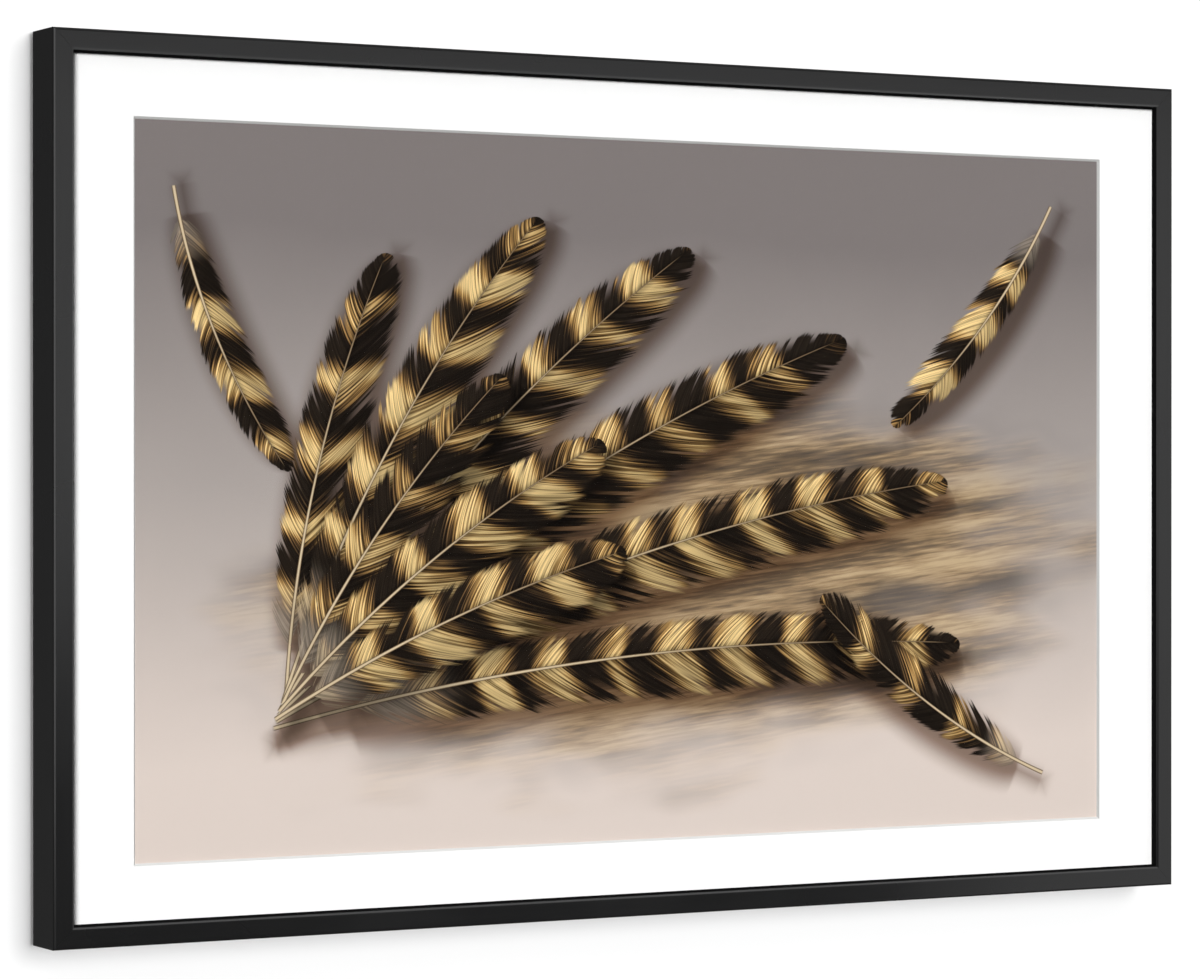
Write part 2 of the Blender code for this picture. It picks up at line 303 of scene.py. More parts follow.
class PictureSettings(bpy.types.PropertyGroup):
    """The printed picture: barred feathers over a streaked ground."""

    backdrop_top: colour_setting("Backdrop top", "Ink at the top of the backdrop", (0.192, 0.170, 0.165))
    backdrop_middle: colour_setting(
        "Backdrop middle", "Ink at half the backdrop's height", (0.371, 0.331, 0.310)
    )
    backdrop_bottom: colour_setting(
        "Backdrop bottom", "Ink at the bottom of the backdrop", (0.668, 0.578, 0.524)
    )
    dark: colour_setting("Dark bars", "Ink of the feathers' dark bars", (0.0125, 0.0085, 0.0055))
    brown: colour_setting("Brown", "Ink beside the dark bars", (0.085, 0.047, 0.019))
    gold: colour_setting("Gold", "Ink beside the light bars", (0.34, 0.197, 0.064))
    cream: colour_setting("Light bars", "Ink of the feathers' light bars", (0.64, 0.465, 0.210))
    bar_pitch: size_setting("Bar pitch", "Distance from one light bar to the next along a feather", 0.050)
    tooth: size_setting("Tooth", "Height of the art paper's fine texture", 0.00002)


class GlazingSettings(bpy.types.PropertyGroup):
    """The clear sheet in front of the mat."""

    ior: FloatProperty(
        name="Index of refraction",
        description="Effective value of acrylic with an anti-reflective coat",
        default=1.15,
        min=1,
        max=2,
    )
    roughness: share_setting("Roughness", "Haze of the sheet's surface", 0.01)


class BackSettings(bpy.types.PropertyGroup):
    """What shows at the back."""

    board: colour_setting("Board", "Colour of the hardboard", (0.22, 0.125, 0.062))
    zinc: colour_setting("Zinc", "Colour of the plated hangers", (0.62, 0.63, 0.64))
    steel: colour_setting("Spring steel", "Colour of the framer's points", (0.42, 0.42, 0.42))
    screw: colour_setting("Screws", "Colour of the yellow zinc on the screws", (0.66, 0.56, 0.36))
    rubber: colour_setting("Rubber", "Colour of the bumpers", (0.10, 0.10, 0.10))


class StageSettings(bpy.types.PropertyGroup):
    """The wall, the floor, the lights and the camera."""

    wall: colour_setting("Wall", "Colour of the wall", (0.93, 0.93, 0.93))
    floor: colour_setting("Floor", "Colour of the floor", (0.80, 0.80, 0.79))
    floor_height: size_setting("Floor height", "Height of the floor, below the hangers", -1.5)
    light_around: level_setting("Light around", "Brightness of the room in front of the wall", 0.08)
    light_behind: level_setting("Light behind", "Brightness of the room behind the wall", 0.09)
    light_above: level_setting("Light above", "What the room gains in brightness high up", 0.50)
    front_light: level_setting("Front light", "Light on the wall from straight ahead", 0.28)
    key_light: level_setting("Key light", "Light on the wall from the key light's small middle", 0.15)
    soft_key_light: level_setting(
        "Soft key light", "Light on the wall from the key light's wide surround", 0.40
    )
    fill_light: level_setting("Fill light", "Light on the wall from the left", 0.16)
    window_light: level_setting("Window light", "Light on the mat and the print from the left", 0.94)
    back_light: level_setting("Back light", "Light on the part's back from behind the wall", 0.60)
    face_card: level_setting("Face card", "Brightness of the cards that the moulding's face mirrors", 0.81)
    edge_card: level_setting("Edge card", "Brightness of the card that the outer left arris mirrors", 1.9)
    inner_card: level_setting("Inner card", "Brightness of the cards that the inner arrises mirror", 1.0)
    back_card: level_setting("Back card", "Brightness of the card that the hangers and points mirror", 0.8)
    lens: FloatProperty(name="Lens", description="Focal length", default=124.846, unit="CAMERA")


# Moulding

# Where the corner beyond each rounding lies, in radii from the edge.
BEYOND_ROUNDING = 1.06
# Faces of the lip whose normals have less Z than this, before the length is placed, are its edge.
LIP_EDGE_NORMAL = -0.80


def edges_along_x(shape, y, z):
    """The edges that run along X at this depth and height."""
    near = 1e-6
    return [
        edge
        for edge in shape.edges
        if all(abs(vert.co.y - y) < near and abs(vert.co.z - z) < near for vert in edge.verts)
        and abs(edge.verts[0].co.x - edge.verts[1].co.x) > near
    ]


def round_edges(shape, edges, radius, segments):
    """Rounds these edges to a quarter of a circle."""
    bmesh.ops.bevel(
        shape, geom=edges, offset=radius, affect="EDGES", segments=segments, profile=0.5, material=-1
    )


def moulding_blank(length, settings):
    """A straight length along X, its front face at Y = 0 and its outer side at Z = 0.

    A corner just beyond each rounding keeps the shading of the flat sides flat.
    """
    rail, lip = settings.rail_width, settings.lip_thickness
    face, web = rail - settings.sight_bevel, rail - settings.rabbet_width
    outer, inner, rear = (
        BEYOND_ROUNDING * radius
        for radius in (settings.outer_arris, settings.inner_arris, settings.back_arris)
    )
    front = ((outer, 0), (0, 0), (0, -outer), (0, inner - face), (0, -face), (inner, -face), (lip, -rail))
    back = ((lip, -web), (FRAME_DEPTH, -web), (FRAME_DEPTH, -rear), (FRAME_DEPTH, 0), (FRAME_DEPTH - rear, 0))
    shape = bmesh.new()
    section = shape.faces.new([shape.verts.new((-length / 2, y, z)) for y, z in front + back])
    grown = bmesh.ops.extrude_face_region(shape, geom=[section])["geom"]
    moved = [item for item in grown if isinstance(item, bmesh.types.BMVert)]
    bmesh.ops.translate(shape, verts=moved, vec=(length, 0, 0))
    round_edges(shape, edges_along_x(shape, 0, 0), settings.outer_arris, 8)
    round_edges(shape, edges_along_x(shape, 0, -face), settings.inner_arris, 10)
    round_edges(shape, edges_along_x(shape, FRAME_DEPTH, 0), settings.back_arris, 4)
    return shape


def mitre(shape, length, gap, side):
    """Cuts one end at 45 degrees, half the gap short of the corner's diagonal."""
    outward = Vector((side, 0, 1)).normalized()
    outward.z = -outward.z
    made = bmesh.ops.bisect_plane(
        shape,
        geom=shape.verts[:] + shape.edges[:] + shape.faces[:],
        plane_co=Vector((side * length / 2, 0, 0)) - outward * gap / 2,
        plane_no=outward,
        clear_outer=True,
    )
    rim = [item for item in made["geom_cut"] if isinstance(item, bmesh.types.BMEdge)]
    bmesh.ops.edgeloop_fill(shape, edges=rim)


def dull_the_lip(shape, settings):
    """Gives the second material to the lip's edge and the half of its rounding that faces the picture."""
    bmesh.ops.recalc_face_normals(shape, faces=shape.faces)
    for face in shape.faces:
        on_lip = face.calc_center_median().y < settings.lip_thickness
        if on_lip and face.normal.z < LIP_EDGE_NORMAL:
            face.material_index = 1


def piece_from(name, shape, materials, replaced):
    """Turns a bmesh into a piece that stands for a node of the frame."""
    bmesh.ops.recalc_face_normals(shape, faces=shape.faces)
    mesh = bpy.data.meshes.new(name)
    shape.to_mesh(mesh)
    shape.free()
    mesh.shade_smooth()
    mesh.set_sharp_from_angle(angle=radians(30))
    for material in materials:
        mesh.materials.append(material)
    piece = bpy.data.objects.new(name, mesh)
    bpy.context.scene.collection.objects.link(piece)
    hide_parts(replaced)
    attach(piece, BODY)
    return piece


def black_wood(name, along, settings):
    """Satin black paint over wood, with its grain along one axis."""
    material, graph, shader = new_material(name)
    grain = graph.noise(graph.place(scale=drawn_out(260.0, 9.0, along)), 1.0, 5.0, 0.62)
    strokes = graph.noise(graph.place(scale=drawn_out(900.0, 30.0, along)), 1.0, 2.0, 0.5)
    cloud = graph.noise(graph.place(), 7.0, 3.0, 0.55)
    tone = graph.smooth(graph.math("MULTIPLY_ADD", grain, 0.7, cloud), 0.55, 1.15, 0.86, 1.16)
    satin = settings.roughness
    height = graph.math("MULTIPLY_ADD", strokes, 0.35, grain)
    finish(
        shader,
        graph,
        Base_Color=graph.shade(settings.paint, tone),
        Roughness=graph.smooth(cloud, 0.3, 0.7, satin - 0.035, satin + 0.035),
        Normal=graph.bump(height, settings.grain_depth),
    )
    return material


def dull_black(settings):
    """Matt black stain on the lip's edge, with a faint grain."""
    material, graph, shader = new_material("black_wood_lip")
    grain = graph.noise(graph.place(), 420.0, 3.0, 0.6)
    finish(
        shader,
        graph,
        Base_Color=graph.shade(settings.paint, graph.math("MULTIPLY_ADD", grain, 0.3, 0.7)),
        Roughness=0.9,
        Specular_IOR_Level=0.0,
        Normal=graph.bump(grain, settings.grain_depth),
    )
    return material


class FRAMED_PRINT_OT_moulding(bpy.types.Operator):
    """Builds the four mitred lengths of satin black moulding"""

    bl_idname = "framed_print.moulding"
    bl_label = "Moulding"

    def execute(self, context):
        settings = context.scene.framed_print_moulding
        across = black_wood("black_wood_across", 0, settings)
        upright = black_wood("black_wood_upright", 2, settings)
        lip = dull_black(settings)
        sides = (
            ("top", FRAME_WIDTH, FRAME_HEIGHT / 2, 0, across),
            ("right", FRAME_HEIGHT, FRAME_WIDTH / 2, 90, upright),
            ("bottom", FRAME_WIDTH, FRAME_HEIGHT / 2, 180, across),
            ("left", FRAME_HEIGHT, FRAME_WIDTH / 2, 270, upright),
        )
        for side, length, reach, turn, material in sides:
            shape = moulding_blank(length, settings)
            for end in (-1, 1):
                mitre(shape, length, settings.mitre_gap, end)
            dull_the_lip(shape, settings)
            place = (
                Matrix.Translation((0, FRONT_Y, CENTRE_Z))
                @ Matrix.Rotation(radians(turn), 4, "Y")
                @ Matrix.Translation((0, 0, reach))
            )
            bmesh.ops.transform(shape, matrix=place, verts=shape.verts)
            piece_from(f"moulding_{side}", shape, (material, lip), f"rail_{side}")
        return {"FINISHED"}


# Mat board


def mat_paper(settings):
    """White face paper with a fine tooth, and the duller core where the bevel cuts it.

    The core carries painted shade: it is set darker than the face paper, partly as its own tone,
    and it is painted darker still on cuts that face left and lighter on cuts that face right.
    """
    material, graph, shader = new_material("mat_paper")
    place = graph.place()
    tooth = graph.noise(place, 2600.0, 3.0, 0.6)
    fibres = graph.noise(place, 420.0, 4.0, 0.6)
    cloud = graph.noise(place, 14.0, 3.0, 0.5)
    shade = graph.math("MULTIPLY_ADD", fibres, 0.6, graph.times(cloud, 0.4))
    face = graph.shade(settings.surface, graph.smooth(shade, 0.35, 0.65, 0.975, 1.0))
    direction = graph.separate(graph.node("ShaderNodeNewGeometry").outputs["True Normal"])
    is_bevel = graph.smooth(graph.math("ABSOLUTE", direction[1]), 0.95, 0.85)
    # Painted shade: darker on bevel cuts that face left, lighter on cuts that face right, as if lit from the
    # right.
    core = graph.shade(settings.core, graph.smooth(direction[0], -0.5, 0.5, 0.5, 1.16))
    finish(
        shader,
        graph,
        Base_Color=graph.mix(is_bevel, face, core),
        Roughness=0.92,
        Specular_IOR_Level=0.25,
        Normal=graph.bump(graph.math("MULTIPLY_ADD", fibres, 0.6, tooth), settings.tooth),
    )
    return material


class FRAMED_PRINT_OT_mat_board(bpy.types.Operator):
    """Finishes the white window mat and its bevel"""

    bl_idname = "framed_print.mat_board"
    bl_label = "Mat board"

    def execute(self, context):
        dress("mat_board", mat_paper(context.scene.framed_print_mat))
        return {"FINISHED"}


# Picture

# Each feather: the tip of its quill from the sheet's middle, its heading in degrees, the radius of
# its bend (positive to the left), its length, half its vane's width and a seed. The last lies on top.
FEATHERS = (
    ((-0.366, 0.206), -80, 0.42, 0.205, 0.020, 2.0),
    ((0.352, 0.214), -118, -0.50, 0.215, 0.020, 5.0),
    ((-0.283, -0.142), 87, -0.80, 0.310, 0.029, 11.0),
    ((-0.286, -0.146), 71, -0.95, 0.385, 0.032, 23.0),
    ((-0.288, -0.150), 56, -1.15, 0.450, 0.035, 31.0),
    ((-0.290, -0.154), 41, -1.35, 0.520, 0.036, 43.0),
    ((-0.292, -0.158), 27, -1.55, 0.565, 0.035, 57.0),
    ((-0.294, -0.162), 13, -1.95, 0.560, 0.032, 61.0),
    ((-0.286, -0.146), 63, -0.80, 0.280, 0.030, 73.0),
    ((-0.289, -0.151), 46, -0.90, 0.310, 0.032, 83.0),
    ((-0.292, -0.156), 30, -1.10, 0.295, 0.031, 97.0),
    ((0.345, -0.214), 158, -0.55, 0.235, 0.023, 103.0),
)
# Share of the half width at each share of the length.
VANE_OUTLINE = (
    (0.0, 0.0),
    (0.10, 0.0),
    (0.13, 0.30),
    (0.20, 0.62),
    (0.35, 0.86),
    (0.60, 1.0),
    (0.80, 0.94),
    (0.92, 0.70),
    (0.98, 0.36),
    (1.0, 0.0),
)
# The same with the quill and a little room for what frays.
ROOM_OUTLINE = (
    (0.0, 0.0),
    (0.004, 0.10),
    (0.09, 0.12),
    (0.11, 0.50),
    (0.20, 0.78),
    (0.35, 0.96),
    (0.60, 1.09),
    (0.80, 1.03),
    (0.92, 0.80),
    (0.98, 0.48),
    (0.999, 0.10),
    (1.0, 0.0),
)
BROAD_VANE = 1.0
NARROW_VANE = 0.72
SHAFT_RADIUS = 0.0017
# How far forward a barb runs for each metre outwards, and what it gains towards its tip.
BARB_SWEEP = 0.95
TIP_SWEEP = 0.35
# Shares of the length: where the down gives way, and where the vane begins and ends.
DOWN_FADE = (0.27, 0.14)
VANE_START = (0.10, 0.12)
VANE_END = (1.0, 0.998)
# How many there are to a metre of barbs, of the locks they cling in and of the bars' waves and drift.
BARBS = 520.0
LOCKS = 120.0
WAVES = 26.0
DRIFT = 13.0
# How far a bar runs back for each metre outwards, and how far its waves go.
BAR_SLANT = 0.55
BAR_WAVE = 0.022
# Half the width over which the light side of a feather passes into the dark one.
TURN_OF_VANE = 0.018
# How far a feather's shadow falls, how far its edge spreads and how much light is left in it.
SHADOW_FALL = Vector((0.008, -0.010, 0.0))
SHADOW_SOFTNESS = 0.013
SHADOW_LIGHT = 0.30
# What the colour under the feathers is multiplied by, from full shadow to full light.
SHADOW_TINTS = ((0.0, (0.10, 0.07, 0.05)), (0.35, (0.36, 0.29, 0.25)), (1.0, (1.0, 1.0, 1.0)))
LIGHT_FROM = Vector((-0.5, 0.85, 0.0))
DOWN_INK = (0.36, 0.30, 0.235)
SHAFT_INK = (0.62, 0.50, 0.33)
SHAFT_EDGE_INK = (0.10, 0.060, 0.028)
SMUDGE_INK = (0.075, 0.066, 0.062)
BACKDROP_HEIGHT = 0.5
# The sandy ground: its middle, its turn in degrees, its reach each way and its inks by streak.
GROUND_CENTRE = (0.045, -0.070, 0.0)
GROUND_TURN = 7
GROUND_REACH = (0.41, 0.150, 1.0)
GROUND_INKS = (
    (0.25, (0.042, 0.029, 0.018)),
    (0.42, (0.15, 0.097, 0.048)),
    (0.52, (0.31, 0.205, 0.102)),
    (0.66, (0.50, 0.365, 0.205)),
)
# Spots of noise to a metre, along the ground's length and across it.
BROAD_STREAKS = (5.0, 42.0, 0.0)
FINE_STREAKS = (26.0, 420.0, 0.0)
GROUND_CLOUDS = (7.0, 16.0, 0.0)
# Too small to move anything. It makes each feather wait for the one under it, because Cycles
# runs out of room when it works on all of them at once.
WAIT = 1e-20


def new_group(name, inputs, outputs):
    """A node group with these sockets, its graph and its inputs."""
    tree = bpy.data.node_groups.new(name, "ShaderNodeTree")
    for way, sockets in (("INPUT", inputs), ("OUTPUT", outputs)):
        for socket, kind in sockets.items():
            tree.interface.new_socket(name=socket, in_out=way, socket_type=f"NodeSocket{kind}")
    graph = Graph(tree)
    return tree, graph, graph.node("NodeGroupInput").outputs


# What is kept while the feathers are laid: where a place is on the topmost feather and on the one
# under it, as (along, left, seed), their (length, half width, lit side), and the light on each.
LAYERS = {
    "Top where": "Vector",
    "Top shape": "Vector",
    "Top light": "Float",
    "Under where": "Vector",
    "Under shape": "Vector",
    "Under light": "Float",
    "Ground light": "Float",
    "Place": "Vector",
}
NO_LAYERS = {
    "Top where": (-1.0, 1.0, 0.0),
    "Top shape": (1.0, 0.01, 1.0),
    "Top light": 1.0,
    "Under where": (-1.0, 1.0, 0.0),
    "Under shape": (1.0, 0.01, 1.0),
    "Under light": 1.0,
    "Ground light": 1.0,
}


def lay_group():
    """Finds where a place is on one feather and, if that feather covers it, lays it on top."""
    sockets = {
        "Quill tip": "Vector",
        "Heading": "Vector",
        "Left": "Vector",
        "Bend": "Float",
        "Length": "Float",
        "Shape": "Vector",
        "Seed": "Float",
        "Mean width": "Float",
        "Lean": "Float",
        "Fall": "Float",
    }
    tree, graph, given = new_group("lay_feather", LAYERS | sockets, LAYERS)
    reach = graph.vector("SUBTRACT", given["Place"], given["Quill tip"])
    along = graph.vector("DOT_PRODUCT", reach, given["Heading"])
    left = graph.vector("DOT_PRODUCT", reach, given["Left"])
    left = graph.math("MULTIPLY_ADD", graph.times(along, along), given["Bend"], left)
    share = graph.math("DIVIDE", along, given["Length"], clamp=True)
    outline = graph.curve(share, ROOM_OUTLINE)
    width = graph.math("MULTIPLY_ADD", graph.math("SIGN", left), given["Lean"], given["Mean width"])
    width = graph.times(width, outline)
    covers = graph.math("LESS_THAN", graph.math("ABSOLUTE", left), width)

    beside = graph.math("ABSOLUTE", graph.math("SUBTRACT", left, given["Fall"]))
    beside = graph.math("SUBTRACT", beside, graph.times(outline, given["Mean width"]))
    half = graph.times(given["Length"], 0.5)
    beyond = graph.math("SUBTRACT", graph.math("ABSOLUTE", graph.math("SUBTRACT", along, half)), half)
    outside = graph.math("MAXIMUM", beside, beyond)
    light = graph.smooth(outside, SHADOW_SOFTNESS, -0.8 * SHADOW_SOFTNESS, 1.0, SHADOW_LIGHT)

    top_light = graph.times(given["Top light"], light)
    under_light = graph.times(given["Under light"], light)
    where = graph.combine(along, left, given["Seed"])
    kept = {
        "Top where": graph.switch(covers, given["Top where"], where),
        "Top shape": graph.switch(covers, given["Top shape"], given["Shape"]),
        "Top light": graph.math("MAXIMUM", top_light, covers),
        "Under where": graph.switch(covers, given["Under where"], given["Top where"]),
        "Under shape": graph.switch(covers, given["Under shape"], given["Top shape"]),
        "Under light": graph.blend(covers, under_light, top_light),
        "Ground light": graph.times(given["Ground light"], light),
        "Place": graph.vector("MULTIPLY_ADD", where, [WAIT] * 3, given["Place"]),
    }
    made = graph.node("NodeGroupOutput")
    for name, value in kept.items():
        graph.feed(made.inputs[name], value)
    return tree


def strip_noise(graph, along, per_metre, row, detail=1.0, roughness=0.5):
    """Noise along a line. Each row has its own."""
    return graph.noise(graph.combine(graph.times(along, per_metre), row), 1.0, detail, roughness, "2D")


def vane_edge(graph, share, left, across, half_width):
    """How far out in its vane a place is, from 0 at the shaft to 1 at the edge."""
    broad = graph.math("GREATER_THAN", graph.times(left, half_width), 0.0)
    width = graph.times(graph.math("ABSOLUTE", half_width), graph.curve(share, VANE_OUTLINE))
    width = graph.times(width, graph.blend(broad, NARROW_VANE, BROAD_VANE))
    return graph.math("DIVIDE", across, graph.math("MAXIMUM", width, 0.0001))


def feather_noises(graph, along, left, across, edge, seed):
    """Noise for the barbs and their locks, drawn out along the barbs, and for the bars' waves."""
    sweep = graph.math("MULTIPLY_ADD", graph.math("MINIMUM", edge, 1.3), TIP_SWEEP, BARB_SWEEP)
    root = graph.math("SUBTRACT", along, graph.times(across, sweep))
    row = graph.math("MULTIPLY_ADD", graph.math("SIGN", left), 3.7, seed)
    barbs = strip_noise(graph, root, BARBS, graph.math("MULTIPLY_ADD", across, 22.0, row), 1.5, 0.6)
    return barbs, strip_noise(graph, root, LOCKS, row), strip_noise(graph, along, WAVES, row)


def vane_cover(graph, share, edge, down, barbs, locks):
    """Where a vane covers: frayed at its edge, split between its locks and thin in its down."""
    frayed = graph.sway(edge, barbs, graph.math("MULTIPLY_ADD", down, 1.9, 0.5))
    frayed = graph.sway(frayed, locks, 0.38)
    vane = graph.smooth(frayed, 1.05, 0.86)
    split = graph.times(graph.smooth(locks, 0.625, 0.66), graph.smooth(edge, 0.35, 0.85))
    vane = graph.math("SUBTRACT", vane, split, clamp=True)
    thinned = graph.math("MULTIPLY_ADD", down, -0.28, 1.0)
    return graph.times(vane, thinned, graph.smooth(share, *VANE_START), graph.smooth(share, *VANE_END))


def barred_ink(graph, settings, along, across, share, seed, waves, barbs):
    """Ink that goes from dark to light and back with each bar, and stays dark at the tip."""
    bar = graph.math("MULTIPLY_ADD", across, -BAR_SLANT, along)
    bar = graph.math("MULTIPLY_ADD", waves, BAR_WAVE, bar)
    bar = graph.math("MULTIPLY_ADD", bar, 2 * pi / settings.bar_pitch, seed)
    bar = graph.math("MULTIPLY_ADD", graph.math("SINE", bar), 0.5, 0.43)
    bar = graph.sway(bar, barbs, 1.35)
    bar = graph.sway(bar, strip_noise(graph, along, DRIFT, seed), 1.1)
    bar = graph.math("MULTIPLY_ADD", graph.math("SINE", graph.times(seed, 1.7)), 0.14, bar)
    bar = graph.math("MULTIPLY_ADD", graph.smooth(share, 0.86, 1.0), -0.45, bar)
    return graph.ramp(
        bar,
        (0.0, settings.dark),
        (0.24, settings.dark),
        (0.50, settings.brown),
        (0.74, settings.gold),
        (1.0, settings.cream),
    )


def feather_shaft(graph, settings, share, across):
    """Where the shaft covers, and its ink. It is thin and brown at the tip."""
    radius = graph.math("MULTIPLY_ADD", share, -0.8 * SHAFT_RADIUS, SHAFT_RADIUS)
    edge = graph.math("DIVIDE", across, radius)
    ends = graph.times(graph.smooth(share, 0.0, 0.006), graph.smooth(share, 0.985, 0.95))
    cover = graph.times(graph.smooth(edge, 1.15, 0.85), ends)
    horn = graph.mix(graph.smooth(edge, 0.85, 0.25), SHAFT_EDGE_INK, SHAFT_INK)
    return cover, graph.mix(graph.smooth(share, 0.3, 0.95, 0.0, 0.8), horn, settings.brown)


def ink_group(settings):
    """Paints the feather that a place is on over what shows between its barbs."""
    sockets = {"Where": "Vector", "Shape": "Vector", "Light": "Float", "Under": "Color"}
    tree, graph, given = new_group("feather_ink", sockets, {"Colour": "Color"})
    along, left, seed = graph.separate(given["Where"])
    length, half_width, lit_side = graph.separate(given["Shape"])
    across = graph.math("ABSOLUTE", left)
    share = graph.math("DIVIDE", along, length)
    edge = vane_edge(graph, share, left, across, half_width)
    barbs, locks, waves = feather_noises(graph, along, left, across, edge, seed)
    down = graph.smooth(share, *DOWN_FADE)
    vane = vane_cover(graph, share, edge, down, barbs, locks)

    ink = barred_ink(graph, settings, along, across, share, seed, waves, barbs)
    ink = graph.mix(graph.times(down, 0.75), ink, DOWN_INK)
    lit = graph.smooth(graph.times(left, lit_side), -TURN_OF_VANE, TURN_OF_VANE, 0.62, 1.22)
    streak = graph.smooth(barbs, 0.28, 0.72, 0.52, 1.30)
    hollow = graph.smooth(edge, 0.02, 0.22, 0.55, 1.0)
    ink = graph.shade(ink, graph.times(lit, streak, hollow))

    shaft, horn = feather_shaft(graph, settings, share, across)
    ink = graph.shade(graph.mix(shaft, ink, horn), given["Light"])
    covered = graph.math("MAXIMUM", vane, shaft)
    graph.feed(graph.node("NodeGroupOutput").inputs[0], graph.mix(covered, given["Under"], ink))
    return tree


def group_node(graph, tree, values):
    """Places a node group and feeds its inputs by name."""
    made = graph.node("ShaderNodeGroup")
    made.node_tree = tree
    for name, value in values.items():
        graph.feed(made.inputs[name], value)
    return made.outputs


def lay_feather(graph, group, layers, quill_tip, heading, bend, length, half_width, seed):
    """Lays one feather over the layers so far. Its broad vane is on the inside of its bend."""
    angle = radians(heading)
    forward = Vector((cos(angle), sin(angle), 0))
    left = Vector((-forward.y, forward.x, 0))
    inside = 1 if bend > 0 else -1
    broad, narrow = BROAD_VANE * half_width, NARROW_VANE * half_width
    values = {
        "Quill tip": (*quill_tip, 0),
        "Heading": forward,
        "Left": left,
        "Bend": -1 / (2 * bend),
        "Length": length,
        "Shape": (length, half_width * inside, 1 if left.dot(LIGHT_FROM) > 0 else -1),
        "Seed": seed,
        "Mean width": (broad + narrow) / 2,
        "Lean": (broad - narrow) / 2 * inside,
        "Fall": SHADOW_FALL.dot(left),
    }
    made = group_node(graph, group, layers | values)
    return {name: made[name] for name in LAYERS}


def backdrop(graph, place, settings):
    """A soft graded backdrop with a patch of streaked, sandy ground."""
    spot = graph.separate(place)
    mottle = graph.noise(place, 9.0, 3.0, 0.5, "2D")
    height = graph.math("MULTIPLY_ADD", spot[1], 1 / BACKDROP_HEIGHT, 0.5)
    colour = graph.ramp(
        graph.sway(height, mottle, 0.05),
        (0.13, settings.backdrop_bottom),
        (0.51, settings.backdrop_middle),
        (0.86, settings.backdrop_top),
    )
    turned = graph.node("ShaderNodeMapping", vector_type="TEXTURE")
    turned.inputs["Location"].default_value = GROUND_CENTRE
    turned.inputs["Rotation"].default_value = (0, 0, radians(GROUND_TURN))
    graph.feed(turned.inputs["Vector"], place)
    flat = turned.outputs[0]
    broad = graph.noise(graph.vector("MULTIPLY", flat, BROAD_STREAKS), 1.0, 4.0, 0.55, "2D")
    fine = graph.noise(graph.vector("MULTIPLY", flat, FINE_STREAKS), 1.0, 3.0, 0.6, "2D")
    cloud = graph.noise(graph.vector("MULTIPLY", flat, GROUND_CLOUDS), 1.0, 2.0, 0.5, "2D")
    reach = graph.vector("LENGTH", graph.vector("DIVIDE", flat, GROUND_REACH))
    reach = graph.sway(reach, cloud, 0.7)
    patch = graph.smooth(reach, 1.0, 0.45)
    ground = graph.ramp(graph.sway(broad, fine, 0.45), *GROUND_INKS)
    colour = graph.mix(graph.times(patch, 0.92), colour, ground)
    smudge = graph.times(graph.smooth(cloud, 0.54, 0.72), graph.smooth(reach, 1.15, 0.6, 0.0, 0.6))
    return graph.mix(smudge, colour, SMUDGE_INK)


class FRAMED_PRINT_OT_picture(bpy.types.Operator):
    """Prints the picture on the paper behind the mat"""

    bl_idname = "framed_print.picture"
    bl_label = "Picture"

    def execute(self, context):
        settings = context.scene.framed_print_picture
        material, graph, shader = new_material("print_paper")
        spot = graph.separate(graph.place(location=SHEET_CENTRE))
        place = graph.combine(spot[0], spot[2])
        colour = backdrop(graph, place, settings)
        layers = NO_LAYERS | {"Place": place}
        lay, ink = lay_group(), ink_group(settings)
        for feather in FEATHERS:
            layers = lay_feather(graph, lay, layers, *feather)
        colour = graph.mix(1.0, colour, graph.ramp(layers["Ground light"], *SHADOW_TINTS), "MULTIPLY")
        for layer in ("Under", "Top"):
            values = {
                "Where": layers[f"{layer} where"],
                "Shape": layers[f"{layer} shape"],
                "Light": layers[f"{layer} light"],
                "Under": colour,
            }
            colour = group_node(graph, ink, values)[0]
        tooth = graph.noise(graph.place(), 1900.0, 3.0, 0.6)
        colour = graph.shade(colour, graph.smooth(tooth, 0.3, 0.7, 0.965, 1.035))
        finish(
            shader,
            graph,
            Base_Color=colour,
            Roughness=0.85,
            Specular_IOR_Level=0.2,
            Normal=graph.bump(tooth, settings.tooth),
        )
        dress("print_sheet", material)
        return {"FINISHED"}


# Glazing


class FRAMED_PRINT_OT_glazing(bpy.types.Operator):
    """Finishes the clear sheet of acrylic"""

    bl_idname = "framed_print.glazing"
    bl_label = "Glazing"

    def execute(self, context):
        settings = context.scene.framed_print_glazing
        material, graph, shader = new_material("acrylic")
        finish(
            shader,
            graph,
            Base_Color=(1.0, 1.0, 1.0),
            Roughness=settings.roughness,
            IOR=settings.ior,
            Transmission_Weight=1.0,
        )
        dress("glazing", material)
        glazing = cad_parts["glazing"]
        glazing.visible_shadow = False
        glazing.visible_diffuse = False
        return {"FINISHED"}


# Back

DARK_FLECK = (0.045, 0.024, 0.012)
PALE_FLECK = (0.42, 0.29, 0.17)
BRUSHING_DEPTH = 0.000006
FIBRE_DEPTH = 0.00004
RUBBER_GRAIN_DEPTH = 0.00002


def plated_steel(name, colour, along, brushed, roughness):
    """Steel with fine lines along one axis and a little clouding."""
    material, graph, shader = new_material(name)
    lines = graph.noise(graph.place(scale=drawn_out(5200.0, 160.0, along)), 1.0, 3.0, 0.6)
    cloud = graph.noise(graph.place(), 240.0, 3.0, 0.55)
    tone = graph.math("MULTIPLY_ADD", lines, brushed, graph.times(cloud, 1.0 - brushed))
    finish(
        shader,
        graph,
        Base_Color=graph.shade(colour, graph.smooth(tone, 0.35, 0.65, 0.78, 1.0)),
        Metallic=1.0,
        Roughness=graph.smooth(tone, 0.3, 0.7, roughness + 0.08, roughness - 0.06),
        Normal=graph.bump(lines, BRUSHING_DEPTH),
    )
    return material


